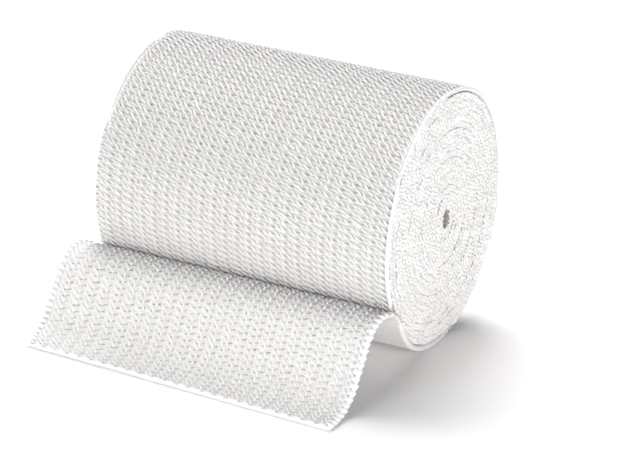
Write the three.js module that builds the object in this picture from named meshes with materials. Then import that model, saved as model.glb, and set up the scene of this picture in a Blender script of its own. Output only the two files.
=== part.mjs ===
// Elastic bandage roll lying on its side, with its loose end turned out in front.
// Millimetres. +X runs along the roll's axis, +Z is up, and the loose end leaves towards -Y.
// The origin is on the surface that the roll rests on, straight under the roll's axis.
// Angles are in degrees round the axis: 0 at the back, 90 at the top, 180 at the front, 270 underneath.
import * as THREE from 'three';

// Driving dimensions
const bandageWidth = 100;
const clothThickness = 1.8;
const airBetweenTurns = 0.3;
const rollRadius = 40.2;
const flatSpotDepth = 0.3;

// The winding
const turnPitch = clothThickness + airBetweenTurns;
const outermostTurnStart = 263.5;
const stepFootAngle = 0.6;
const outOfRound = 0.5;
const outOfRoundAngle = 76;
const rimRounding = 1.2;
const coreHoleRadius = 1.7;
const coreHoleStretch = 0.3;
const coreHoleSlant = 65;

// The main coils that show on the end faces, as one shallow spiral trough
const coilPitch = 4 * turnPitch;
const coilTroughDepth = 0.8;
const coilTroughShare = 0.42;

// The loose end, from under the roll to its cut edge on the floor
const looseStart = outermostTurnStart - stepFootAngle - THREE.MathUtils.radToDeg(airBetweenTurns / rollRadius);
const leaveAngle = 212.6;
const crestBackRadius = 9.2;
const crestFrontRadius = 12.2;
const steepestSlope = 58;
const footRadius = 14.8;
const flatRunLeft = 0.6;
const flatRunRight = 4.2;

// Half widths of the loose end, which spreads a little once its tension is gone
const looseEdges = [
  { place: 'beside the flat spot', along: 0.0, left: 50.0, right: 50.0 },
  { place: 'where it leaves the roll', along: 0.36, left: 53.2, right: 53.2 },
  { place: 'over the crest', along: 0.48, left: 54.4, right: 51.8 },
  { place: 'before the foot', along: 0.86, left: 54.2, right: 51.8 },
  { place: 'cut edge', along: 1.0, left: 52.2, right: 52.2 },
];

// Fineness of the meshes
const columnsRound = 60;
const ringsOnFace = 21;
const stepsOnRim = 3;
const stepsAcrossCloth = 4;
const degreesPerStep = 7.5;

const radians = THREE.MathUtils.degToRad;
const axisHeight = heightOfAxis();

function woven(colour) {
  return new THREE.MeshStandardMaterial({ color: colour, roughness: 0.95, metalness: 0 });
}

// Share of a whole turn wound on since the outermost turn began, from 0 up to 1.
function turnShare(angle) {
  return THREE.MathUtils.euclideanModulo(angle - outermostTurnStart, 360) / 360;
}

function unevenness(angle) {
  return outOfRound * Math.cos(radians(2 * (angle - outOfRoundAngle)));
}

// Outer radius of the wound body: a spiral, one turn pitch smaller where it has come round again.
function bodyRadius(angle, share = turnShare(angle)) {
  return rollRadius - turnPitch * share + unevenness(angle);
}

function holeRadius(angle) {
  return coreHoleRadius * (1 + coreHoleStretch * Math.cos(radians(2 * (angle - coreHoleSlant))));
}

// The axis lies so low that the lowest turn is pressed flat by the depth of the flat spot.
function heightOfAxis() {
  let lowest = 0;
  for (let angle = outermostTurnStart; angle < outermostTurnStart + 20; angle += 0.25) {
    lowest = Math.max(lowest, bodyRadius(angle) * Math.sin(radians(angle - 180)));
  }
  return lowest - flatSpotDepth;
}

// A closed surface from a grid of points: the rows close on themselves, and so do the columns.
function closedGrid(rows) {
  const rowCount = rows.length;
  const columnCount = rows[0].length;
  const index = [];
  for (let row = 0; row < rowCount; row++) {
    const next = (row + 1) % rowCount;
    for (let column = 0; column < columnCount; column++) {
      const beside = (column + 1) % columnCount;
      const a = row * columnCount + column;
      const b = row * columnCount + beside;
      const c = next * columnCount + beside;
      const d = next * columnCount + column;
      index.push(a, b, c, a, c, d);
    }
  }
  const geometry = new THREE.BufferGeometry();
  geometry.setAttribute('position', new THREE.Float32BufferAttribute(rows.flat(2), 3));
  geometry.setIndex(index);
  geometry.computeVertexNormals();
  return geometry;
}

// Angles of the columns round the roll. The foot of the outermost turn's step has a column of its own.
function columnAngles() {
  const angles = [{ angle: outermostTurnStart - stepFootAngle, share: 1 }];
  for (let column = 0; column < columnsRound; column++) {
    const share = column / columnsRound;
    angles.push({ angle: outermostTurnStart + 360 * share, share });
  }
  return angles;
}

// Depth of the spiral trough between the main coils: a soft raised-cosine hollow, fading out at the rim.
function troughDepth(radius, angle, share) {
  const coils = (rollRadius - radius) / coilPitch - share;
  const fromTrough = 2 * Math.abs(coils - Math.round(coils));
  if (fromTrough > coilTroughShare) {
    return 0;
  }
  const fade = THREE.MathUtils.smoothstep(bodyRadius(angle, share) - radius, rimRounding, coilPitch / 2);
  return 0.5 * coilTroughDepth * fade * (1 + Math.cos(Math.PI * fromTrough / coilTroughShare));
}

function roundPoint(x, radius, angle) {
  const height = axisHeight + radius * Math.sin(radians(angle));
  return [x, radius * Math.cos(radians(angle)), Math.max(0, height)];
}

// One end face with its rounded rim, as rings from the rim's foot inwards to the hole.
function endRings(side) {
  const rings = [];
  const half = bandageWidth / 2;
  for (let step = 0; step <= stepsOnRim; step++) {
    const bend = radians(90 * step / stepsOnRim);
    const x = side * (half - rimRounding * (1 - Math.sin(bend)));
    const inset = rimRounding * (1 - Math.cos(bend));
    rings.push(columnAngles().map(({ angle, share }) => roundPoint(x, bodyRadius(angle, share) - inset, angle)));
  }
  for (let ring = 0; ring <= ringsOnFace; ring++) {
    rings.push(columnAngles().map(({ angle, share }) => {
      const outermost = rollRadius - 2 * turnPitch + unevenness(angle);
      const radius = THREE.MathUtils.lerp(outermost, holeRadius(angle), ring / ringsOnFace);
      const x = side * (half - troughDepth(radius, angle, share));
      return roundPoint(x, radius, angle);
    }));
  }
  return rings;
}

// The wound body: both end faces, the cylinder between their rims and the small hole along the axis.
function woundRoll() {
  const rows = [...endRings(-1).reverse(), ...endRings(1)];
  return new THREE.Mesh(closedGrid(rows), woven(0xf4f2ef));
}

// Middle line of the loose end as points with their upward normals, in the plane across the axis.
// It follows the spiral under the roll, turns over at the crest, runs down straight and eases out flat.
function looseLine(flatRun) {
  const line = [];
  const stepsOnRoll = Math.ceil((looseStart - leaveAngle) / degreesPerStep);
  for (let step = 0; step <= stepsOnRoll; step++) {
    const angle = THREE.MathUtils.lerp(looseStart, leaveAngle, step / stepsOnRoll);
    const spread = turnPitch * (outermostTurnStart - angle) / 360;
    const radius = rollRadius + spread + unevenness(angle) - clothThickness / 2;
    const y = radius * Math.cos(radians(angle));
    line.push({ y, z: axisHeight + radius * Math.sin(radians(angle)), heading: angle - 90 });
  }
  const bend = (radius, turn) => {
    const start = line.at(-1);
    const steps = Math.ceil(Math.abs(turn) / degreesPerStep);
    const side = Math.sign(turn);
    const centreY = start.y - side * radius * Math.sin(radians(start.heading));
    const centreZ = start.z + side * radius * Math.cos(radians(start.heading));
    for (let step = 1; step <= steps; step++) {
      const heading = start.heading + turn * step / steps;
      const y = centreY + side * radius * Math.sin(radians(heading));
      line.push({ y, z: centreZ - side * radius * Math.cos(radians(heading)), heading });
    }
  };
  const straight = (length) => {
    const { y, z, heading } = line.at(-1);
    const ahead = { y: y + length * Math.cos(radians(heading)), z: z + length * Math.sin(radians(heading)) };
    line.push({ ...ahead, heading });
  };
  bend(crestBackRadius, 180 - leaveAngle + 90);
  bend(crestFrontRadius, steepestSlope);
  const footDrop = footRadius * (1 - Math.cos(radians(steepestSlope)));
  const drop = line.at(-1).z - clothThickness / 2 - footDrop;
  straight(drop / Math.sin(radians(steepestSlope)));
  bend(footRadius, -steepestSlope);
  straight(flatRun);
  return line;
}

// Half width of the loose end at a share of its length, eased between the table's rows.
function looseHalfWidth(share, side) {
  let row = 1;
  while (looseEdges[row].along < share && row < looseEdges.length - 1) {
    row++;
  }
  const before = looseEdges[row - 1];
  const after = looseEdges[row];
  const along = THREE.MathUtils.smoothstep(share, before.along, after.along);
  const edge = side < 0 ? 'left' : 'right';
  return THREE.MathUtils.lerp(before[edge], after[edge], along);
}

// The loose end as a closed sheet: each row runs across the top of the cloth and back underneath.
function looseEnd() {
  const columns = [];
  for (let step = 0; step <= stepsAcrossCloth; step++) {
    const across = 2 * step / stepsAcrossCloth - 1;
    columns.push({ across, line: looseLine(THREE.MathUtils.lerp(flatRunLeft, flatRunRight, step / stepsAcrossCloth)) });
  }
  const rowCount = columns[0].line.length;
  const rows = [];
  for (let row = 0; row < rowCount; row++) {
    const surface = (offset) => columns.map(({ across, line }) => {
      const { y, z, heading } = line[row];
      const half = looseHalfWidth(row / (rowCount - 1), across);
      const up = radians(heading - 90);
      return [across * half, y + offset * Math.cos(up), Math.max(0, z + offset * Math.sin(up))];
    });
    rows.push([...surface(clothThickness / 2), ...surface(-clothThickness / 2).reverse()]);
  }
  return new THREE.Mesh(cappedTube(rows), woven(0xf6f5f3));
}

// A closed surface from rows that close on themselves, with a flat strip of faces at either end.
function cappedTube(rows) {
  const columnCount = rows[0].length;
  const index = [];
  for (let row = 0; row < rows.length - 1; row++) {
    for (let column = 0; column < columnCount; column++) {
      const beside = (column + 1) % columnCount;
      const a = row * columnCount + column;
      const b = row * columnCount + beside;
      index.push(a, b + columnCount, b, a, a + columnCount, b + columnCount);
    }
  }
  const last = (rows.length - 1) * columnCount;
  for (let column = 0; column < columnCount / 2 - 1; column++) {
    const opposite = columnCount - 1 - column;
    index.push(column, opposite - 1, opposite, column, column + 1, opposite - 1);
    index.push(last + column, last + opposite, last + opposite - 1);
    index.push(last + column, last + opposite - 1, last + column + 1);
  }
  const geometry = new THREE.BufferGeometry();
  geometry.setAttribute('position', new THREE.Float32BufferAttribute(rows.flat(2), 3));
  geometry.setIndex(index);
  geometry.computeVertexNormals();
  return geometry;
}

const bandage = new THREE.Group();
for (const [name, mesh] of Object.entries({ wound_roll: woundRoll(), loose_end: looseEnd() })) {
  mesh.name = name;
  bandage.add(mesh);
}

export default bandage;
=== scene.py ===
# Elastic bandage roll lying on its side, with its loose end turned out in front.
# Shapes are worked out in millimetres and made in metres. +X runs along the roll's axis, +Z is up,
# and the loose end leaves towards -Y. Angles are in degrees round the axis: 0 at the back, 90 at the
# top, 180 at the front and 270 underneath.
import math

import bpy
import numpy as np
from mathutils import Matrix, Vector


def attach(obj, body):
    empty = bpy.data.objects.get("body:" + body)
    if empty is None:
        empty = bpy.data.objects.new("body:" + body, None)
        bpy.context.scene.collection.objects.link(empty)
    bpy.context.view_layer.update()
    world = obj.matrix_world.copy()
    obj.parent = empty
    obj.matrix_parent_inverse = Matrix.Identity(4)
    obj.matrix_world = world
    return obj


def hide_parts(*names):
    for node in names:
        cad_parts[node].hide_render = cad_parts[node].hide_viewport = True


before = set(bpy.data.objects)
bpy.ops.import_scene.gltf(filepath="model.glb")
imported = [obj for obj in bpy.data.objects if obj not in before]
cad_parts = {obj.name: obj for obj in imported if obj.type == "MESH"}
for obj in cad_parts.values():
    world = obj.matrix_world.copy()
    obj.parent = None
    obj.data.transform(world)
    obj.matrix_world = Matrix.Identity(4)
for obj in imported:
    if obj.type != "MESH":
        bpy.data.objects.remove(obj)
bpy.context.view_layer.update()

METRES = 0.001
DRAW = np.random.default_rng(41)

# The strip of cloth, and how it is wound
BANDAGE_WIDTH = 100.0
CLOTH = 1.8
AIR = 0.3
TURN_PITCH = CLOTH + AIR
ROLL_RADIUS = 40.2
FLAT_SPOT = 0.3
OUTERMOST_START = 263.5
OUT_OF_ROUND = 0.5
OUT_OF_ROUND_ANGLE = 76.0

# The core: a slanting slot, a little off the axis
INNER_END_RADIUS = 1.75
CORE_SLANT = 65.0
CORE_STRETCH = 0.32
CORE_REACH = 5.0
CORE_SHIFT = (1.8, -0.8)
CORE_SHIFT_REACH = 13.0

# The main coils on the end faces
COIL_PITCH = 4 * TURN_PITCH
COIL_TROUGH = 0.2
COIL_TROUGH_SHARE = 0.42

# The free part of the loose end: it turns over in a crest and eases out on the floor
LEAVE_ANGLE = 212.6
CREST_BACK_RADIUS = 9.2
CREST_FRONT_RADIUS = 12.2
STEEPEST = 58.0
FOOT_RADIUS = 14.8
FLAT_RUN_LEFT = 0.6
FLAT_RUN_RIGHT = 4.2

# Knit: pitch of the pattern across and along the strip, wound and relaxed. The depths tell how far
# the ground between the yarns, the loose end's underside and the outermost turn's rims lie below the
# cloth's full thickness. A side eases to its rims over the margin.
CELL_WIDTH = 4.05
CELL_LENGTH_WOUND = 2.16
CELL_LENGTH_LOOSE = 2.03
CELLS_ACROSS = 24
GROUND_DEPTH = 0.82
INNER_GROUND_DEPTH = 0.5
LOOSE_BACK_DEPTH = 0.1
RIM_DEPTH = 0.25
MARGIN = 0.9

# Fineness of the lines and of the runs along them
FREE_LINE_POINTS = 600
WOUND_LINE_DEGREES = 0.5
FINE_RUNS = 20000
SMALLEST_RADIUS = 1.5
SMALL_STEP = 0.01


def running_sum(values, steps):
    """Trapezium sum of values over steps, starting at zero."""
    return np.concatenate([[0.0], np.cumsum(0.5 * (values[1:] + values[:-1]) * steps)])


def outer_radius(angle):
    """Spiral: one turn pitch less for each whole turn inwards, plus a twofold unevenness that fades
    towards the core, where a twofold stretch makes the slanted slot."""
    plain = ROLL_RADIUS - TURN_PITCH * (angle - OUTERMOST_START) / 360
    uneven = OUT_OF_ROUND * np.cos(np.radians(2 * (angle - OUT_OF_ROUND_ANGLE)))
    uneven = uneven * np.clip(plain / ROLL_RADIUS, 0, 1)
    slant = np.cos(np.radians(2 * (angle - CORE_SLANT)))
    slot = CORE_STRETCH * slant * np.exp(-(plain / CORE_REACH) ** 2)
    return (plain + uneven) * (1 + slot)


def height_of_axis():
    """The axis lies as high as the lowest turn reaches down, in the 20 degrees that follow the seam,
    less the depth of the flat spot that is pressed into it."""
    angle = np.arange(OUTERMOST_START, OUTERMOST_START + 20, 0.25)
    return (outer_radius(angle) * np.sin(np.radians(angle - 180))).max() - FLAT_SPOT


AXIS_HEIGHT = height_of_axis()
TURNS = (ROLL_RADIUS - CLOTH - INNER_END_RADIUS) / TURN_PITCH
CORE_ANGLE = OUTERMOST_START + 360 * TURNS


def free_line():
    """The free part's middle line: bends and straights one after another, as run, place and normal.
    The heading changes evenly along a bend, and the place is the running sum of its direction. The
    last straight has a millimetre to spare past the cut edge."""
    start_radius = outer_radius(LEAVE_ANGLE) - CLOTH / 2
    start = np.radians(LEAVE_ANGLE)
    y = start_radius * np.cos(start)
    z = AXIS_HEIGHT + start_radius * np.sin(start)
    heading = LEAVE_ANGLE - 90
    crest = z + CREST_BACK_RADIUS * (1 + math.cos(math.radians(heading)))
    slope = 1 - math.cos(math.radians(STEEPEST))
    drop = crest - CLOTH / 2 - (CREST_FRONT_RADIUS + FOOT_RADIUS) * slope
    pieces = [
        (CREST_BACK_RADIUS * math.radians(180 - heading), 180 - heading),
        (CREST_FRONT_RADIUS * math.radians(STEEPEST), STEEPEST),
        (drop / math.sin(math.radians(STEEPEST)), 0),
        (FOOT_RADIUS * math.radians(STEEPEST), -STEEPEST),
        (FLAT_RUN_RIGHT + 1, 0),
    ]
    ends = np.concatenate([[0], np.cumsum([length for length, _ in pieces])])
    headings = heading + np.concatenate([[0], np.cumsum([turn for _, turn in pieces])])
    run = np.linspace(0, ends[-1], FREE_LINE_POINTS)
    along = np.radians(np.interp(run, ends, headings))
    steps = np.diff(run)
    line_y = y + running_sum(np.cos(along), steps)
    line_z = z + running_sum(np.sin(along), steps)
    return run, line_y, line_z, np.degrees(along) + 90, ends


FREE_RUN, FREE_Y, FREE_Z, FREE_NORMAL, FREE_ENDS = free_line()
CUT_LEFT = FREE_ENDS[4] + FLAT_RUN_LEFT
CUT_RIGHT = FREE_ENDS[4] + FLAT_RUN_RIGHT
CUT_MIDDLE = (CUT_LEFT + CUT_RIGHT) / 2


def wound_line():
    """The wound part's middle line, from the core to where the loose end leaves the roll. The run is
    minus the length of cloth from there, so it grows towards the cut edge."""
    angle = np.arange(CORE_ANGLE, LEAVE_ANGLE, -WOUND_LINE_DEGREES)
    angle = np.append(angle, LEAVE_ANGLE)
    radius = outer_radius(angle) - CLOTH / 2
    run = running_sum(radius, np.radians(-np.diff(angle)))
    turn = np.radians(angle)
    return run - run[-1], radius * np.cos(turn), AXIS_HEIGHT + radius * np.sin(turn), angle


WOUND_RUN, WOUND_Y, WOUND_Z, WOUND_ANGLE = wound_line()
LINE_RUN = np.concatenate([WOUND_RUN[:-1], FREE_RUN])
LINE_Y = np.concatenate([WOUND_Y[:-1], FREE_Y])
LINE_Z = np.concatenate([WOUND_Z[:-1], FREE_Z])
LINE_NORMAL = np.concatenate([WOUND_ANGLE[:-1], FREE_NORMAL])


def run_of_angle(angle):
    """Run of the middle line at a winding angle."""
    return np.interp(angle, WOUND_ANGLE[::-1], WOUND_RUN[::-1])


def angle_of_run(run):
    """Winding angle of the middle line at a run."""
    return np.interp(run, WOUND_RUN, WOUND_ANGLE)


# Where the loose end's sheet begins under the roll, where the outermost turn begins, one whole turn
# further in, and where that turn comes out from under the loose end, less a few degrees
SEAM_RUN = float(run_of_angle(OUTERMOST_START))
SECOND_TURN_RUN = float(run_of_angle(OUTERMOST_START + 360))
COVERED_RUN = float(run_of_angle(LEAVE_ANGLE + 360 + 6))

# Half widths of the strip along its run, which spreads a little once its tension is gone: on the roll,
# where it leaves it, over the crest, before the foot and at the cut edge
EDGE_RUNS = np.array([-35.0, 5.6, 10.5, FREE_ENDS[3] + 8.0, CUT_MIDDLE])
LEFT_HALVES = np.array([50.0, 53.2, 54.4, 54.2, 52.2])
RIGHT_HALVES = np.array([50.0, 53.2, 51.8, 51.8, 52.2])

# Rows of stitches counted along the run, closer together where the cloth is relaxed
RELAXING_RUNS = (-6.0, 8.0)
ROW_PITCH = np.interp(LINE_RUN, RELAXING_RUNS, [CELL_LENGTH_WOUND, CELL_LENGTH_LOOSE])
LINE_ROWS = running_sum(1 / ROW_PITCH, np.diff(LINE_RUN))
LINE_ROWS = LINE_ROWS - np.interp(0, LINE_RUN, LINE_ROWS)


def eased(value, places, sizes):
    """Sizes eased between places with a smooth step."""
    row = np.clip(np.searchsorted(places, value) - 1, 0, len(places) - 2)
    share = np.clip((value - places[row]) / (places[row + 1] - places[row]), 0, 1)
    share = share * share * (3 - 2 * share)
    return sizes[row] + (sizes[row + 1] - sizes[row]) * share


def place(across, run, height):
    """A point of the strip, given across its width, along its run and above its middle surface, with
    the roll's outer side up. It is the middle line's point, moved along the normal by the height. The
    core sits a little off the axis: points near it are shifted, less by a bell curve further out."""
    left = eased(run, EDGE_RUNS, LEFT_HALVES)
    right = eased(run, EDGE_RUNS, RIGHT_HALVES)
    normal = np.radians(np.interp(run, LINE_RUN, LINE_NORMAL))
    x = across * np.where(across < 0, left, right) / (BANDAGE_WIDTH / 2)
    y = np.interp(run, LINE_RUN, LINE_Y) + height * np.cos(normal)
    z = np.interp(run, LINE_RUN, LINE_Z) + height * np.sin(normal)
    shift = np.exp(-(y ** 2 + (z - AXIS_HEIGHT) ** 2) / CORE_SHIFT_REACH ** 2)
    y = y + CORE_SHIFT[0] * shift
    z = z + CORE_SHIFT[1] * shift
    return np.stack(np.broadcast_arrays(x, y, np.maximum(z, 0.0)), axis=-1)


def skewed(run, share):
    """The run moved along so that the loose end's rows turn to its slanting cut edge: by a cube of the
    way there, times the share of the half width."""
    way = np.clip((run - SEAM_RUN) / (CUT_MIDDLE - SEAM_RUN), 0, 1)
    return run + way ** 3 * 0.5 * (CUT_RIGHT - CUT_LEFT) * share


def runs_between(first, last, step, steps_each_turn=44):
    """Runs about a step apart, closer near the core so that each turn keeps enough steps."""
    fine = np.linspace(first, last, FINE_RUNS)
    radius = np.maximum(outer_radius(angle_of_run(fine)), SMALLEST_RADIUS)
    density = 1 / np.minimum(step, 2 * np.pi * radius / steps_each_turn)
    count = running_sum(density, np.diff(fine))
    return np.interp(np.linspace(0, count[-1], math.ceil(count[-1]) + 1), count, fine)


def make_mesh(name, points, quads, triangles, uv):
    """A smooth mesh object from points in millimetres, from the corner numbers of its quads and
    triangles, and from each point's place on the map of the strip."""
    corners = np.concatenate([quads.reshape(-1), triangles.reshape(-1)])
    starts = np.concatenate([4 * np.arange(len(quads)), quads.size + 3 * np.arange(len(triangles))])
    mesh = bpy.data.meshes.new(name)
    mesh.vertices.add(len(points))
    mesh.vertices.foreach_set("co", (points * METRES).astype(np.float32).ravel())
    mesh.loops.add(len(corners))
    mesh.loops.foreach_set("vertex_index", corners.astype(np.int32))
    mesh.polygons.add(len(starts))
    mesh.polygons.foreach_set("loop_start", starts.astype(np.int32))
    mesh.update(calc_edges=True)
    mesh.validate()
    mesh.polygons.foreach_set("use_smooth", np.ones(len(mesh.polygons), bool))
    layer = mesh.uv_layers.new(name="strip")
    layer.uv.foreach_set("vector", uv[corners].astype(np.float32).ravel())
    piece = bpy.data.objects.new(name, mesh)
    bpy.context.scene.collection.objects.link(piece)
    return piece


def carried_section(name, points, uv, way=1):
    """The closed mesh of a section carried along a path: rows of points, joined from row to row and
    round each row, with a flat fan of triangles on the first and on the last. The way is -1 where the
    section's points go round it the other way, so that the faces still point outwards."""
    rows, columns = points.shape[:2]
    number = np.arange(rows * columns).reshape(rows, columns)
    beside = np.roll(number, -1, axis=1)
    corners = [number[:-1], beside[:-1], beside[1:], number[1:]]
    if way < 0:
        corners = corners[:1] + corners[:0:-1]
    quads = np.stack(corners, axis=-1).reshape(-1, 4)
    caps = []
    for row, order in ((0, way), (rows - 1, -way)):
        ring = number[row][::order]
        caps.append(np.stack([np.full(columns - 2, ring[0]), ring[2:], ring[1:-1]], axis=-1))
    return make_mesh(name, points.reshape(-1, 3), quads, np.concatenate(caps), uv.reshape(-1, 2))


def band_profile(columns, edge_steps):
    """Section of the strip as across and height, both from -1 to 1, and how far it is round an edge:
    the outer side from left to right, a half round, the inner side back and another half round. The
    columns of a side lie closer together at the margins."""
    share = np.linspace(-1, 1, columns)
    side = np.sin(share * np.pi / 2)
    turn = np.radians(np.linspace(90, -90, edge_steps + 2)[1:-1])
    ones = np.ones(edge_steps)
    across = np.concatenate([side, ones, -side, -ones])
    height = np.concatenate([np.ones(columns), np.sin(turn), -np.ones(columns), -np.sin(turn)])
    round_edge = np.concatenate([np.zeros(columns), np.cos(turn), np.zeros(columns), np.cos(turn)])
    return across, height, round_edge


def strip_piece(name, runs, profile, depths, edge_of, half=CLOTH / 2):
    """A closed length of the strip: the section carried along the run, with a flat cap at both ends.
    Depths tell how far the outer side, the inner side and the margins lie below full thickness, eased
    between them over a margin's width. The edges are half rounds, and edge_of gives how far each edge
    is set back, which fades out over the outermost eighth of the half width."""
    across, level, bulge = profile
    run = skewed(runs[:, None] + 0 * across, across)
    flat_half = BANDAGE_WIDTH / 2 - CLOTH / 2
    side = np.sign(across)
    set_back = edge_of(run, side) * np.clip(np.abs(across) * 8 - 7, 0, 1)
    u = across * flat_half + side * (bulge * CLOTH / 2 - set_back)
    inside = np.clip((flat_half - np.abs(u)) / MARGIN, 0, 1)
    inside = inside * inside * (3 - 2 * inside)
    depth = depths[2] + (np.where(level > 0, depths[0], depths[1]) - depths[2]) * inside
    points = place(u, run, level * (half - depth))
    uv = np.stack([u / CELL_WIDTH, np.interp(run, LINE_RUN, LINE_ROWS)], axis=-1)
    return carried_section(name, points, uv)


def unit(vectors):
    """Vectors brought to a length of one."""
    return vectors / np.maximum(np.linalg.norm(vectors, axis=-1, keepdims=True), 1e-9)


def tube_faces(rings, sides):
    """Corner numbers of one tube's quads and of the triangles at its ends. The points of its rings
    come first, then its two end points."""
    number = np.arange(rings * sides).reshape(rings, sides)
    beside = np.roll(number, -1, axis=1)
    quads = np.stack([number[:-1], number[1:], beside[1:], beside[:-1]], axis=-1).reshape(-1, 4)
    end = np.full(sides, rings * sides)
    first = np.stack([end, number[0], beside[0]], axis=-1)
    last = np.stack([end + 1, beside[-1], number[-1]], axis=-1)
    return quads, np.concatenate([first, last])


def tubes(name, paths, wide, high, sides):
    """Many short yarns in one mesh. Each path is a row of points across, along and above the strip.
    The section is an ellipse square to the path, as wide and high as given, and it closes to a point
    at the first and last point of the path. Its map is the length and the breadth in millimetres."""
    across, run, height = np.moveaxis(paths, -1, 0)
    centre = place(across, run, height)
    up = place(across, run, height + SMALL_STEP) - centre
    along = unit(np.gradient(centre, axis=1))
    beside = unit(np.cross(along, up))
    over = np.cross(beside, along)
    turn = np.arange(sides) / sides * 2 * np.pi
    ring = centre[:, 1:-1, None]
    ring = ring + wide[:, 1:-1, None, None] / 2 * np.cos(turn)[:, None] * beside[:, 1:-1, None]
    ring = ring + high[:, 1:-1, None, None] / 2 * np.sin(turn)[:, None] * over[:, 1:-1, None]
    ring[..., 2] = np.maximum(ring[..., 2], 0.0)
    count, rings = ring.shape[:2]
    ring = ring.reshape(count, rings * sides, 3)
    points = np.concatenate([ring, centre[:, :1], centre[:, -1:]], axis=1)
    steps = np.linalg.norm(np.diff(centre, axis=1), axis=-1)
    length = np.concatenate([np.zeros((count, 1)), np.cumsum(steps, axis=1)], axis=1)
    u = np.repeat(length[:, 1:-1, None], sides, axis=2).reshape(count, -1)
    u = np.concatenate([u, length[:, :1], length[:, -1:]], axis=1)
    v = (wide[:, 1:-1, None] / 2 * np.cos(turn)).reshape(count, -1)
    v = np.concatenate([v, np.zeros((count, 2))], axis=1)
    uv = np.stack([u, v], axis=-1)
    quads, caps = tube_faces(rings, sides)
    shift = (np.arange(count) * points.shape[1])[:, None, None]
    return make_mesh(
        name, points.reshape(-1, 3), (quads + shift).reshape(-1, 4), (caps + shift).reshape(-1, 3),
        uv.reshape(-1, 2))


# Edges of the wound strip: waves along the run of several lengths, with a start of their own on each
# side. They stay calm for a share of the first turn from outside, and are full after the whole turn.
WAVE_LENGTHS = np.array([7.0, 11.0, 17.0, 29.0, 47.0])
WAVE_STARTS = DRAW.uniform(0, 2 * np.pi, (2, len(WAVE_LENGTHS)))
WAVE_SIZE = 0.035
CALM_TURNS = 0.6
CALM_SHARE = 0.15

# Where along the outermost turn, by angle, its edge shows smooth, and where curled loops cover it
RIM_ANGLES = [274, 288, 350, 364, 446, 458, 500, 512, 566, 578]
RIM_SMOOTH = [1, 0, 0, 1, 1, 0, 0, 1, 1, 0]
RIM_SINK = 1.4

# Loops round the edges of the loose end: where they begin, how far they stand out past its body, and
# how much thinner its margins are inside them
LOOPS_START = -3.0
LOOPS_EASE = 5.0
LOOP_REACH = 0.16
LOOPED_DEPTH = 0.28

# The band of crinkled edges: its steps, its depth, how far it fills a turn's pitch, how far it lies
# under the outer side of the outermost turn, the degrees over which it grows from its end there, how
# much of its depth the hidden turns keep clear of, and the rounding of its face
EDGE_STEP = 0.3
EDGE_STEPS_EACH_TURN = 56
EDGE_COLUMNS = 8
EDGE_BAND_DEPTH = 3.0
OUTER_BAND_DEPTH = 0.9
BAND_REACH = 0.51 * TURN_PITCH
BAND_INSET = 0.25
SMOOTH_RIM_INSET = 0.6
BAND_GROWTH = 16.0
COVERED_SHARE = 0.7
ROUNDING = 0.1
ROUNDING_CHANGE = 0.08
ROUNDING_WAVES = (23.0, 37.0)
FACES_APART = 40.0

# Crinkles of the end faces: waves in all directions of nearly one length
CRINKLE_WAVES = 48
CRINKLE_LENGTHS = (1.55, 1.1)
CRINKLE_HEIGHT = 0.3
CRINKLE_FLATNESS = 1.5
CRINKLE_TURN = DRAW.uniform(0, 2 * np.pi, CRINKLE_WAVES)
CRINKLE_STRETCH = DRAW.normal(1, 0.14, CRINKLE_WAVES)
CRINKLE_START = DRAW.uniform(0, 2 * np.pi, CRINKLE_WAVES)


def trough(run):
    """How far the edges of the main coils are set back: a raised-cosine hollow in each fourth turn."""
    angle = angle_of_run(run)
    radius = outer_radius(angle) - CLOTH / 2
    coils = (ROLL_RADIUS - radius) / COIL_PITCH - np.mod((angle - OUTERMOST_START) / 360, 1)
    off = 2 * np.abs(coils - np.round(coils))
    fade = np.clip((ROLL_RADIUS - radius - TURN_PITCH) / (COIL_PITCH / 2), 0, 1)
    hollow = 0.5 * COIL_TROUGH * fade * (1 + np.cos(np.pi * off / COIL_TROUGH_SHARE))
    return np.where(off < COIL_TROUGH_SHARE, hollow, 0.0)


def edge_set_back(run, side):
    """The wound strip's edges lie unevenly: a sum of waves along the run, calmer on the outermost
    turn, and the coils' troughs."""
    wave = 0
    for number, length in enumerate(WAVE_LENGTHS):
        start = np.where(side < 0, WAVE_STARTS[0, number], WAVE_STARTS[1, number])
        wave = wave + WAVE_SIZE * (1 + np.sin(2 * np.pi * run / length + start))
    turns = (angle_of_run(run) - OUTERMOST_START) / 360
    inwards = np.clip((turns - CALM_TURNS) / (1 - CALM_TURNS), 0, 1)
    return wave * (CALM_SHARE + (1 - CALM_SHARE) * inwards) + trough(run)


def covered_set_back(run, side):
    """The hidden middle of the inner turns ends behind the crinkled edges, inside their band."""
    return edge_set_back(run, side) + COVERED_SHARE * EDGE_BAND_DEPTH


def smooth_rim(run):
    """How far the outermost turn's edge shows smooth, from 0 to 1, by its table of angles."""
    return np.interp(angle_of_run(run), RIM_ANGLES, RIM_SMOOTH)


def rim_set_back(run, side):
    """The outermost turn's edge, sunk behind the curled loops where they cover it."""
    return edge_set_back(run, side) + RIM_SINK * (1 - smooth_rim(run))


def loop_share(run):
    """How far the loops along the loose end's edges have begun, from 0 to 1."""
    return np.clip((run - LOOPS_START) / LOOPS_EASE, 0, 1)


def loose_set_back(run, _side):
    """The loose end's body stops a little short of the loops along both its edges."""
    return LOOP_REACH * loop_share(run)


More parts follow.
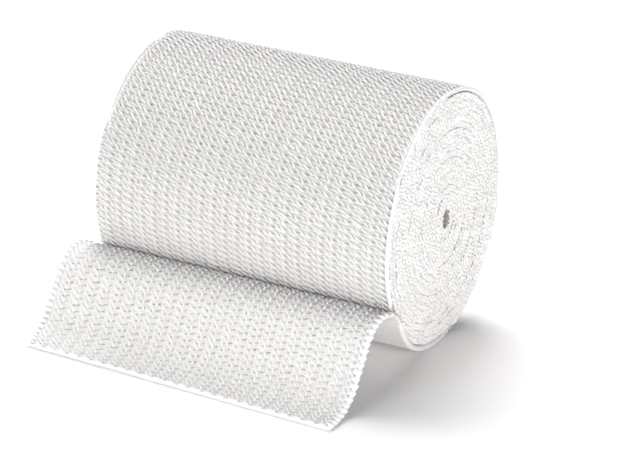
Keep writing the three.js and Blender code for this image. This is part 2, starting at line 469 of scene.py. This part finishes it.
def crinkle(y, z):
    """Curled selvedge loops as ridges: a sum of plane waves of nearly one length in all directions,
    flattened at its tops and bottoms, which winds like a labyrinth."""
    total = np.zeros(y.shape)
    for turn, stretch, start in zip(CRINKLE_TURN, CRINKLE_STRETCH, CRINKLE_START):
        wave_y = 2 * np.pi / CRINKLE_LENGTHS[0] * stretch * math.cos(turn)
        wave_z = 2 * np.pi / CRINKLE_LENGTHS[1] * stretch * math.sin(turn)
        total = total + np.cos(wave_y * y + wave_z * z + start)
    return np.tanh(CRINKLE_FLATNESS * total * math.sqrt(2 / CRINKLE_WAVES))


def turn_edges(name, side):
    """The turns' edges on one end face, as one closed band along the spiral that fills each turn's
    pitch. Its face is rounded between the turns by a cube of the height, set back unevenly and
    crinkled. On the outermost turn the band is shallow and stops short of the cloth's outer side, and
    where the rim shows smooth it is sunk behind it. The hidden walls of covered turns are painted
    dark grey, as shade deep in the winding."""
    last_run = run_of_angle(RIM_ANGLES[0] + 2)
    runs = runs_between(WOUND_RUN[0], last_run, EDGE_STEP, EDGE_STEPS_EACH_TURN)
    front = np.linspace(-1, 1, EDGE_COLUMNS)
    level = np.concatenate([front, front[[-1, 0]]])
    back = np.concatenate([np.zeros(EDGE_COLUMNS), np.ones(2)])
    if side < 0:
        level, back = level[::-1], back[::-1]
    run = runs[:, None] + 0 * level
    angle = angle_of_run(run)
    outermost = angle < RIM_ANGLES[-1]
    smooth = np.where(outermost, smooth_rim(run), 0)
    top = np.where(outermost, CLOTH / 2 - BAND_INSET - SMOOTH_RIM_INSET * smooth, BAND_REACH)
    growth = np.clip((angle - RIM_ANGLES[0]) / BAND_GROWTH, 0.1, 1)
    height = growth * level * np.where(level > 0, top, BAND_REACH)
    flat = place(0 * run, run, height)
    waves = [2 * np.pi * runs / length for length in ROUNDING_WAVES]
    rounding = ROUNDING + ROUNDING_CHANGE * np.sin(waves[0]) * np.sin(waves[1] + side)
    shape = -rounding[:, None] * np.abs(level) ** 3
    shape = shape + CRINKLE_HEIGHT * crinkle(flat[..., 1] + FACES_APART * side, flat[..., 2])
    deep = np.where(outermost, OUTER_BAND_DEPTH, EDGE_BAND_DEPTH)
    across = BANDAGE_WIDTH / 2 - CRINKLE_HEIGHT - edge_set_back(run, side)
    across = across + np.where(back > 0, -deep, shape) - RIM_SINK * smooth
    points = place(side * across, run, height)
    piece = carried_section(name, points, np.stack([run, height], axis=-1), way=-1)
    # Walls of turns hidden under others take the dark grey of painted shade, for the shadow deep in the
    # winding.
    walls = back + np.roll(back, -1) > 0
    hidden = walls & (runs[:-1, None] < SECOND_TURN_RUN)
    slots = np.zeros(len(piece.data.polygons), np.int32)
    slots[:hidden.size] = hidden.ravel()
    piece.data.materials.append(CRINKLED_EDGES)
    piece.data.materials.append(SHADED_INSIDE)
    piece.data.polygons.foreach_set("material_index", slots)
    return piece


# Yarns of the roll's outer side, in one cell: a shallow and a steep stroke on top, and a cross yarn
# halfway down between them. A key is across and down the cell in millimetres and a height from 0 at
# the ground to 1 on top.
SHALLOW_STITCH = [
    (-0.15, 0.76, 0.45), (0.3, 1.0, 0.9), (0.9, 1.36, 1.0), (1.55, 1.78, 0.95), (2.15, 2.18, 0.4)]
STEEP_STITCH = [
    (1.75, 0.93, 0.35), (2.3, 1.42, 0.85), (3.0, 1.98, 1.0), (3.6, 2.49, 1.0), (4.35, 3.18, 0.4)]
CROSS_YARN = [
    (0.3, 0.32, 0.0), (0.75, 0.3, 0.5), (1.3, 0.33, 0.62), (1.85, 0.44, 0.5), (2.4, 0.74, 0.35),
    (2.9, 1.0, 0.45), (3.6, 1.12, 0.0)]

# Yarns of the strip's inner side: one long hooked stroke that dips once, and a cross yarn below it
HOOKED_STITCH = [
    (2.1, 0.92, 0.0), (1.8, 1.0, 0.6), (1.55, 1.2, 0.85), (1.55, 1.5, 0.95), (1.8, 1.95, 1.0),
    (2.2, 2.4, 1.0), (2.6, 2.8, 0.95), (2.95, 3.1, 0.6), (3.3, 3.42, 0.85), (3.65, 3.78, 1.0),
    (3.9, 4.08, 1.0), (3.95, 4.42, 0.9), (3.8, 4.72, 0.6), (3.5, 4.86, 0.0)]
INNER_CROSS_YARN = [
    (0.2, 0.66, 0.0), (0.8, 0.6, 0.5), (1.4, 0.62, 0.55), (1.95, 0.72, 0.4), (2.6, 0.88, 0.5),
    (3.1, 1.0, 0.45), (3.6, 1.12, 0.0)]

# The two sides that show their knit: which way each faces, the depth of its ground, and its runs
OUTER_SIDE = (1, GROUND_DEPTH, COVERED_RUN, SEAM_RUN)
INNER_SIDE = (-1, INNER_GROUND_DEPTH, -2.0, CUT_MIDDLE - 0.2)

# The yarns' middle lines end between these places across the strip, so that they stay on its rims.
# Their ends root a little below the ground and are thinner.
STITCHES_END = (-49.75, 49.2)
STITCH_ROOT = 0.1
STITCH_TAPER = 0.8

# Spread of each stitch's turn in degrees, its length, place, sinking and thickness
TURN_SPREAD = 5.0
LENGTH_SPREAD = 0.07
PLACE_SPREAD = 0.08
SINKING_SPREAD = 0.05
THICKNESS_SPREAD = 0.09

# One loop round an edge, as places across from the edge, along the run and above the middle, its
# thickness at each, and how much the loops differ
LOOP_KEYS = np.array([
    (-3.0, 0.25, -0.35), (-2.1, 0.12, -0.64), (-1.2, 0.0, -0.72), (-0.45, 0.0, -0.62),
    (-0.12, 0.05, -0.1), (-0.35, 0.1, 0.5), (-1.1, 0.15, 0.7), (-1.9, 0.2, 0.55)])
LOOP_THICKNESS = np.array([0.5, 0.75, 0.95, 1, 1, 1, 0.8, 0.5])
LOOP_SECTION = (1.45, 0.45)
LOOP_REACH_SPREAD = 0.07
LOOP_SLANT_SPREAD = 0.06
LOOP_THICKNESS_SPREAD = 0.1
ROWS_FROM_CUT = 0.3


def resampled(keys, count):
    """Key points of a path spread evenly over count points, by the length between them."""
    keys = np.array(keys)
    length = np.concatenate([[0], np.cumsum(np.linalg.norm(np.diff(keys[:, :2], axis=0), axis=1))])
    way = np.linspace(0, length[-1], count)
    return np.stack([np.interp(way, length, column) for column in keys.T], axis=-1)


def stitches(name, keys, on_side, section, points, sides):
    """One kind of stitch repeated over a side of the strip: its path in one cell is carried to each
    column and row of the knit, with a little change of place, turn, length and height at random. Down
    the cell is towards the roll's inside on the outer side. A stitch never passes the last run or the
    rims, and only columns whose middle lies on the strip are kept."""
    face, ground, first_run, last_run = on_side
    wide, high = section
    shape = resampled(keys, points)
    middle = shape[:, :2].mean(axis=0)
    first_row, last_row = np.interp([first_run, last_run], LINE_RUN, LINE_ROWS)
    if face > 0:
        first_row = first_row + shape[:, 1].max() / CELL_LENGTH_WOUND
    row = np.arange(math.ceil(first_row), math.floor(last_row) + 1)
    column = np.arange(CELLS_ACROSS + 2) - CELLS_ACROSS / 2 - 1
    column = column[np.abs(column * CELL_WIDTH + middle[0]) < BANDAGE_WIDTH / 2]
    row, column = [grid.ravel() for grid in np.meshgrid(row, column, indexing="ij")]
    count = len(row)
    turn = np.radians(DRAW.normal(0, TURN_SPREAD, count))[:, None]
    size = DRAW.normal(1, LENGTH_SPREAD, count)[:, None]
    local = (shape[:, :2] - middle)[None]
    x = size * (local[..., 0] * np.cos(turn) - local[..., 1] * np.sin(turn)) + middle[0]
    y = size * (local[..., 0] * np.sin(turn) + local[..., 1] * np.cos(turn)) + middle[1]
    across = column[:, None] * CELL_WIDTH + x + DRAW.normal(0, PLACE_SPREAD, count)[:, None]
    across = np.clip(across, *STITCHES_END)
    down = y + DRAW.normal(0, PLACE_SPREAD, count)[:, None]
    run = np.interp(row[:, None] - face * down / CELL_LENGTH_WOUND, LINE_ROWS, LINE_RUN)
    run = skewed(np.minimum(run, last_run), 2 * across / BANDAGE_WIDTH)
    sinking = np.minimum(DRAW.normal(0, SINKING_SPREAD, count)[:, None], 0)
    top = CLOTH / 2 - high / 2
    height = top - (1 - shape[:, 2])[None] * (ground + STITCH_ROOT) + sinking
    taper = np.ones(points)
    taper[[1, -2]] = STITCH_TAPER
    fat = DRAW.normal(1, THICKNESS_SPREAD, count)[:, None] * taper
    paths = np.stack([across, run, face * height], axis=-1)
    return tubes(name, paths, wide * fat, high * fat, sides)


def edge_loops(name, side):
    """Loops of yarn round one edge of the loose end, one in each row of the knit: from the inner side
    round the edge and a little way back on the outer side."""
    first, last = np.interp([LOOPS_START + LOOPS_EASE / 2, CUT_MIDDLE], LINE_RUN, LINE_ROWS)
    rows = np.arange(math.ceil(first), last - ROWS_FROM_CUT)
    count = len(rows)
    run = skewed(np.interp(rows, LINE_ROWS, LINE_RUN), side)
    out, ahead, up = LOOP_KEYS.T
    reach = DRAW.normal(0, LOOP_REACH_SPREAD, count)[:, None]
    slant = DRAW.normal(0, LOOP_SLANT_SPREAD, count)[:, None]
    across = side * (BANDAGE_WIDTH / 2 + out + reach)
    along = run[:, None] + ahead + slant * out
    height = np.broadcast_to(up, along.shape)
    fat = DRAW.normal(1, LOOP_THICKNESS_SPREAD, count)[:, None] * LOOP_THICKNESS
    wide, high = LOOP_SECTION
    paths = np.stack([across, along, height], axis=-1)
    return tubes(name, paths, wide * fat, high * fat, sides=8)


def node_group(name, inputs, outputs):
    """A shader group with named sockets, as its tree, input node and output node."""
    tree = bpy.data.node_groups.new(name, "ShaderNodeTree")
    for socket, kind in inputs:
        tree.interface.new_socket(name=socket, in_out="INPUT", socket_type=kind)
    for socket, kind in outputs:
        tree.interface.new_socket(name=socket, in_out="OUTPUT", socket_type=kind)
    return tree, tree.nodes.new("NodeGroupInput"), tree.nodes.new("NodeGroupOutput")


def connect(tree, socket, value):
    """Link another socket into this one, or set its constant."""
    if isinstance(value, bpy.types.NodeSocket):
        tree.links.new(value, socket)
    else:
        socket.default_value = value


def calculate(tree, operation, *values):
    """One Math node's result."""
    node = tree.nodes.new("ShaderNodeMath")
    node.operation = operation
    for socket, value in zip(node.inputs, values):
        connect(tree, socket, value)
    return node.outputs[0]


def noise(tree, where, scale, detail):
    """One Noise node's factor, which lies round a half."""
    node = tree.nodes.new("ShaderNodeTexNoise")
    node.inputs["Detail"].default_value = detail
    connect(tree, node.inputs["Vector"], where)
    connect(tree, node.inputs["Scale"], scale)
    return node.outputs["Fac"]


VALUE = "NodeSocketFloat"
VECTOR = "NodeSocketVector"


def knit_hollow_shade_group():
    """Soft spot of a hollow, repeating in each cell of the knit, which the ground uses for painted shade
    and a sunk bump, from the strip's cell coordinates: e to the minus (sum over both directions of
    sharpness times one minus the cosine of the distance)."""
    tree, given, made = node_group(
        "knit_hollow_shade",
        [("Cells", VECTOR), ("Across", VALUE), ("Along", VALUE), ("Slant", VALUE),
         ("Sharp across", VALUE), ("Sharp along", VALUE)],
        [("Spot", VALUE)])
    split = tree.nodes.new("ShaderNodeSeparateXYZ")
    tree.links.new(given.outputs["Cells"], split.inputs[0])
    from_row = calculate(tree, "SUBTRACT", split.outputs["Y"], given.outputs["Along"])
    row_turn = calculate(tree, "MULTIPLY", from_row, 2 * math.pi)
    lean = calculate(tree, "MULTIPLY", calculate(tree, "SINE", row_turn), given.outputs["Slant"])
    from_column = calculate(tree, "SUBTRACT", split.outputs["X"], given.outputs["Across"])
    column_turn = calculate(tree, "MULTIPLY_ADD", from_column, 2 * math.pi, lean)
    parts = []
    for turn, sharp in ((column_turn, "Sharp across"), (row_turn, "Sharp along")):
        off = calculate(tree, "SUBTRACT", 1.0, calculate(tree, "COSINE", turn))
        parts.append(calculate(tree, "MULTIPLY", off, given.outputs[sharp]))
    total = calculate(tree, "ADD", *parts)
    spot = calculate(tree, "POWER", math.e, calculate(tree, "MULTIPLY", total, -1.0))
    tree.links.new(spot, made.inputs["Spot"])
    return tree


def cotton_fibre_group():
    """Fine tangled fibres: two sizes of noise over the piece's own place, as a height and a tone. The
    fine noise and 0.4 times the broad one lie round 0.7, which gives a tone of one."""
    tree, given, made = node_group(
        "cotton_fibre", [("Place", VECTOR), ("Fineness", VALUE), ("Contrast", VALUE)],
        [("Height", VALUE), ("Tone", VALUE)])
    fine = noise(tree, given.outputs["Place"], given.outputs["Fineness"], detail=3.0)
    broad = noise(tree, given.outputs["Place"], scale=130.0, detail=1.0)
    both = calculate(tree, "MULTIPLY_ADD", broad, 0.4, fine)
    off = calculate(tree, "SUBTRACT", both, 0.7)
    tone = calculate(tree, "MULTIPLY_ADD", off, given.outputs["Contrast"], 1.0)
    tree.links.new(fine, made.inputs["Height"])
    tree.links.new(tone, made.inputs["Tone"])
    return tree


def ply_twist_group():
    """Plies twisted round a yarn, from its length and breadth in millimetres: a sine across slanting
    lines, as a height and a tone that is darker between the plies, painted shade in their grooves."""
    tree, given, made = node_group(
        "ply_twist", [("Yarn", VECTOR), ("Pitch", VALUE), ("Contrast", VALUE)],
        [("Height", VALUE), ("Tone", VALUE)])
    split = tree.nodes.new("ShaderNodeSeparateXYZ")
    tree.links.new(given.outputs["Yarn"], split.inputs[0])
    slanting = calculate(tree, "MULTIPLY_ADD", split.outputs["Y"], 0.8, split.outputs["X"])
    turns = calculate(tree, "DIVIDE", slanting, given.outputs["Pitch"])
    wave = calculate(tree, "SINE", calculate(tree, "MULTIPLY", turns, 2 * math.pi))
    height = calculate(tree, "MULTIPLY_ADD", wave, 0.5, 0.5)
    # Painted shade: the tone darkens in the grooves between the plies.
    between = calculate(tree, "SUBTRACT", 1.0, height)
    dark = calculate(tree, "MULTIPLY", between, given.outputs["Contrast"])
    tree.links.new(height, made.inputs["Height"])
    tree.links.new(calculate(tree, "SUBTRACT", 1.0, dark), made.inputs["Tone"])
    return tree


KNIT_HOLLOW_SHADE = knit_hollow_shade_group()
COTTON_FIBRE = cotton_fibre_group()
PLY_TWIST = ply_twist_group()


def use_group(tree, group, **inputs):
    """A group node in a material. Its inputs are given by name, with _ for a space."""
    node = tree.nodes.new("ShaderNodeGroup")
    node.node_tree = group
    for name, given in inputs.items():
        connect(tree, node.inputs[name.replace("_", " ").capitalize()], given)
    return node


def cloth_material(name, colour, tones, height, bump, sheen=0.15):
    """White cotton: a colour times a tone, and a bump of a level, both made by the tones function from
    the piece's own place and the map of the strip. The bump's height is in millimetres."""
    material = bpy.data.materials.new(name)
    material.use_nodes = True
    tree = material.node_tree
    shader = tree.nodes["Principled BSDF"]
    shader.inputs["Roughness"].default_value = 0.92
    shader.inputs["Specular IOR Level"].default_value = 0.2
    shader.inputs["Sheen Weight"].default_value = sheen
    shader.inputs["Sheen Roughness"].default_value = 0.6
    coordinates = tree.nodes.new("ShaderNodeTexCoord")
    strip = tree.nodes.new("ShaderNodeUVMap")
    strip.uv_map = "strip"
    tone, level = tones(tree, coordinates.outputs["Object"], strip.outputs["UV"])
    mix = tree.nodes.new("ShaderNodeVectorMath")
    mix.operation = "SCALE"
    mix.inputs[0].default_value = colour
    tree.links.new(tone, mix.inputs["Scale"])
    tree.links.new(mix.outputs[0], shader.inputs["Base Color"])
    relief = tree.nodes.new("ShaderNodeBump")
    relief.inputs["Strength"].default_value = bump
    relief.inputs["Distance"].default_value = height * METRES
    tree.links.new(level, relief.inputs["Height"])
    tree.links.new(relief.outputs["Normal"], shader.inputs["Normal"])
    return material


def yarn_tones(tree, here, strip):
    """A twisted yarn with stray fibres."""
    twist = use_group(tree, PLY_TWIST, yarn=strip, pitch=0.42, contrast=0.07)
    fibre = use_group(tree, COTTON_FIBRE, place=here, fineness=2600.0, contrast=0.16)
    tone = calculate(tree, "MULTIPLY", twist.outputs["Tone"], fibre.outputs["Tone"])
    return tone, calculate(tree, "MULTIPLY_ADD", fibre.outputs["Height"], 0.6, twist.outputs["Height"])


def hollows(spots, depth):
    """The ground between the yarns, with painted shade in its hollows: the darkest of several spots in
    each cell, times a broad noise that makes them uneven, darkens the tone by the depth and sinks the
    bump. A spot is across and along the cell, slant and the two sharpnesses."""
    def tones(tree, here, strip):
        dark = 0.0
        for across, along, slant, sharp_across, sharp_along in spots:
            node = use_group(
                tree, KNIT_HOLLOW_SHADE, cells=strip, across=across, along=along, slant=slant,
                sharp_across=sharp_across, sharp_along=sharp_along)
            dark = calculate(tree, "MAXIMUM", dark, node.outputs["Spot"])
        fibre = use_group(tree, COTTON_FIBRE, place=here, fineness=2200.0, contrast=0.25)
        uneven = use_group(tree, COTTON_FIBRE, place=here, fineness=420.0, contrast=2.4)
        share = calculate(tree, "MAXIMUM", uneven.outputs["Tone"], 0.1)
        dark = calculate(tree, "MULTIPLY", dark, share)
        # Painted shade: the spots darken the ground's colour by the depth, for the shade in the hollows
        # between the yarns.
        shade = calculate(tree, "SUBTRACT", 1.0, calculate(tree, "MULTIPLY", dark, depth))
        tone = calculate(tree, "MULTIPLY", shade, fibre.outputs["Tone"])
        return tone, calculate(tree, "SUBTRACT", fibre.outputs["Height"], dark)
    return tones


def felted(contrast):
    """Smooth brushed cotton with only its fibres to see."""
    def tones(tree, here, _strip):
        fibre = use_group(tree, COTTON_FIBRE, place=here, fineness=1500.0, contrast=contrast)
        return fibre.outputs["Tone"], fibre.outputs["Height"]
    return tones


WHITE = (0.82, 0.806, 0.8)
# Spots of each ground's hollows, which give both a sunk bump and painted shade.
OUTER_HOLLOW_SHADES = [(0.0, -0.9, 0.0, 1.6, 3.0), (0.56, -0.9, 0.9, 2.6, 2.6)]
INNER_HOLLOW_SHADES = [(0.8, 0.97, 0.9, 2.2, 2.2), (0.2, 0.76, 0.9, 2.2, 1.5)]
YARN = cloth_material("white_yarn", WHITE, yarn_tones, height=0.08, bump=0.5)
# The grounds are greyer than the yarns' white: painted shade for the recessed ground between the yarns,
# as the cloth is white all through.
SHADED_OUTER_GROUND = cloth_material(
    "outer_ground_painted_shade", (0.59, 0.579, 0.574), hollows(OUTER_HOLLOW_SHADES, depth=0.42), height=0.3, bump=0.6)
SHADED_INNER_GROUND = cloth_material(
    "inner_ground_painted_shade", (0.68, 0.668, 0.662), hollows(INNER_HOLLOW_SHADES, depth=0.4), height=0.3, bump=0.6)
SMOOTH_CLOTH = cloth_material("smooth_cloth", WHITE, felted(0.12), height=0.12, bump=0.5)
CRINKLED_EDGES = cloth_material("crinkled_edges", WHITE, felted(0.2), height=0.12, bump=0.6)
# Dark grey for the inner turns and the hidden walls of the turns' edges: painted shade for the shadow
# deep inside the winding, not a colour of the white cloth.
SHADED_INSIDE = cloth_material(
    "inside_of_the_winding_painted_shade", (0.34, 0.33, 0.32), felted(0.3), height=0.1, bump=0.4, sheen=0.0)
PALE_FLOOR = cloth_material(
    "pale_floor", (0.99, 0.983, 0.978), felted(0.004), height=0.001, bump=0.05, sheen=0.0)

OUTER_PROFILE = band_profile(columns=20, edge_steps=7)
INNER_PROFILE = band_profile(columns=4, edge_steps=1)
LOOSE_PROFILE = band_profile(columns=24, edge_steps=7)

outer = strip_piece(
    "outermost_turn", runs_between(SECOND_TURN_RUN, SEAM_RUN, step=1.08), OUTER_PROFILE,
    (GROUND_DEPTH, 0.0, RIM_DEPTH), rim_set_back)
inner = strip_piece(
    "inner_turns", runs_between(WOUND_RUN[0], SECOND_TURN_RUN, step=2.4, steps_each_turn=36),
    INNER_PROFILE, (0.0, 0.0, 0.0), covered_set_back, half=TURN_PITCH / 2)
loose_runs = runs_between(SEAM_RUN, CUT_MIDDLE, step=0.9)
looped_margins = LOOPED_DEPTH * loop_share(loose_runs)[:, None]
loose = strip_piece(
    "loose_end_cloth", loose_runs, LOOSE_PROFILE,
    (LOOSE_BACK_DEPTH, INNER_GROUND_DEPTH, looped_margins), loose_set_back)

# Each kind of yarn, with the width and height of its section, its points and its sides
shallow = stitches("shallow_stitches", SHALLOW_STITCH, OUTER_SIDE, (0.62, 0.5), 6, 6)
steep = stitches("steep_stitches", STEEP_STITCH, OUTER_SIDE, (0.68, 0.55), 6, 6)
cross = stitches("cross_yarns", CROSS_YARN, OUTER_SIDE, (0.55, 0.42), 7, 4)
hooked = stitches("hooked_stitches", HOOKED_STITCH, INNER_SIDE, (0.7, 0.55), 12, 6)
inner_cross = stitches("inner_cross_yarns", INNER_CROSS_YARN, INNER_SIDE, (0.6, 0.45), 7, 4)
left_loops = edge_loops("left_edge_loops", -1)
right_loops = edge_loops("right_edge_loops", 1)
left_edges = turn_edges("left_turn_edges", -1)
right_edges = turn_edges("right_turn_edges", 1)


def second_finish(piece, finish, marked):
    """Another finish on some of a strip's quads, which come row by row. A mark for each column tells
    which."""
    totals = np.zeros(len(piece.data.polygons), np.int32)
    piece.data.polygons.foreach_get("loop_total", totals)
    rows = np.count_nonzero(totals == 4) // len(marked)
    slots = np.zeros(len(totals), np.int32)
    slots[:rows * len(marked)] = np.tile(marked, rows)
    piece.data.materials.append(finish)
    piece.data.polygons.foreach_set("material_index", slots)


# The inner turns take the dark grey of painted shade.
FINISHES = [
    (outer, SHADED_OUTER_GROUND), (inner, SHADED_INSIDE), (loose, SMOOTH_CLOTH), (shallow, YARN), (steep, YARN),
    (cross, YARN), (hooked, YARN), (inner_cross, YARN), (left_loops, YARN), (right_loops, YARN)]
for piece, finish in FINISHES:
    piece.data.materials.append(finish)
outer_level = OUTER_PROFILE[1]
all_but_outer_side = (outer_level < 1) | (np.roll(outer_level, -1) < 1)
second_finish(outer, SMOOTH_CLOTH, all_but_outer_side)
loose_level = LOOSE_PROFILE[1]
inner_side = (loose_level == -1) & (np.roll(loose_level, -1) == -1)
second_finish(loose, SHADED_INNER_GROUND, inner_side)

for piece in [dressed for dressed, _ in FINISHES] + [left_edges, right_edges]:
    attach(piece, "root")
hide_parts("wound_roll")
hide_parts("loose_end")

# The stage: sizes and places in metres
FLOOR_REACH = 3.0
LIGHTS = [
    ("back_key", (-0.33, 0.5, 0.9), 0.6, 0.6, 13.5),
    ("left_key", (-0.8, 0.15, 0.6), 0.4, 0.4, 1.8),
    ("left_low", (-1.0, 0.1, 0.25), 0.35, 0.35, 1.2),
    ("front_fill", (-0.2, -1.0, 0.4), 0.6, 0.3, 4.9),
    ("right_fill", (0.8, -0.8, 0.35), 0.5, 0.5, 7.2),
    ("right_low", (0.75, -0.75, 0.13), 0.5, 0.22, 3.3)]
ROOM_LIGHT = 0.03

# The camera, as fitted to the photograph: it looks at the roll's middle from the right and above
YAW = 27.57
PITCH = 21.15
TILT = 2.2
DISTANCE = 853.86
FOCAL_PIXELS = 2800.0
FRAME_WIDTH = 620
FRAME_HEIGHT = 466
AIM_PIXEL = (298.57, 185.35)
AIM_HEIGHT = 40.16
SENSOR = 36.0


def make_floor():
    """A plain level square round the roll."""
    ways = ((-1, -1), (1, -1), (1, 1), (-1, 1))
    corners = [(x * FLOOR_REACH, y * FLOOR_REACH, 0) for x, y in ways]
    mesh = bpy.data.meshes.new("floor")
    mesh.from_pydata(corners, [], [(0, 1, 2, 3)])
    mesh.materials.append(PALE_FLOOR)
    floor = bpy.data.objects.new("floor", mesh)
    bpy.context.scene.collection.objects.link(floor)
    return floor


def make_camera():
    """The camera stands off its aim along the view, moved sideways so that the aim falls on its pixel."""
    yaw, pitch, tilt = (math.radians(angle) for angle in (YAW, PITCH, TILT))
    away = math.cos(pitch)
    back = np.array([math.sin(yaw) * away, -math.cos(yaw) * away, math.sin(pitch)])
    level = np.array([math.cos(yaw), math.sin(yaw), 0.0])
    upright = np.cross(back, level)
    right = level * math.cos(tilt) + upright * math.sin(tilt)
    up = upright * math.cos(tilt) - level * math.sin(tilt)
    spot = np.array([0, 0, AIM_HEIGHT]) + back * DISTANCE
    spot = spot - right * (AIM_PIXEL[0] - FRAME_WIDTH / 2) / FOCAL_PIXELS * DISTANCE
    spot = spot + up * (AIM_PIXEL[1] - FRAME_HEIGHT / 2) / FOCAL_PIXELS * DISTANCE
    data = bpy.data.cameras.new("camera")
    data.sensor_width = SENSOR
    data.lens = FOCAL_PIXELS / FRAME_WIDTH * SENSOR
    data.clip_start = 0.01
    data.clip_end = 50
    camera = bpy.data.objects.new("camera", data)
    bpy.context.scene.collection.objects.link(camera)
    turn = Matrix((right, up, back)).transposed().to_4x4()
    camera.matrix_world = Matrix.Translation(spot * METRES) @ turn
    bpy.context.scene.camera = camera


def area_light(name, spot, wide, tall, power):
    """A soft light at a spot, as wide and tall as given, turned towards the roll."""
    data = bpy.data.lights.new(name, "AREA")
    data.shape = "RECTANGLE"
    data.size = wide
    data.size_y = tall
    data.energy = power
    light = bpy.data.objects.new(name, data)
    bpy.context.scene.collection.objects.link(light)
    light.location = spot
    aim = Vector((0, 0, AIM_HEIGHT * METRES))
    light.rotation_euler = (aim - Vector(spot)).to_track_quat("-Z", "Y").to_euler()


make_floor()
make_camera()
for light in LIGHTS:
    area_light(*light)
world = bpy.data.worlds.new("studio")
bpy.context.scene.world = world
world.use_nodes = True
world.node_tree.nodes["Background"].inputs["Color"].default_value = (1, 1, 1, 1)
world.node_tree.nodes["Background"].inputs["Strength"].default_value = ROOM_LIGHT
bpy.context.scene.view_settings.view_transform = "Standard"
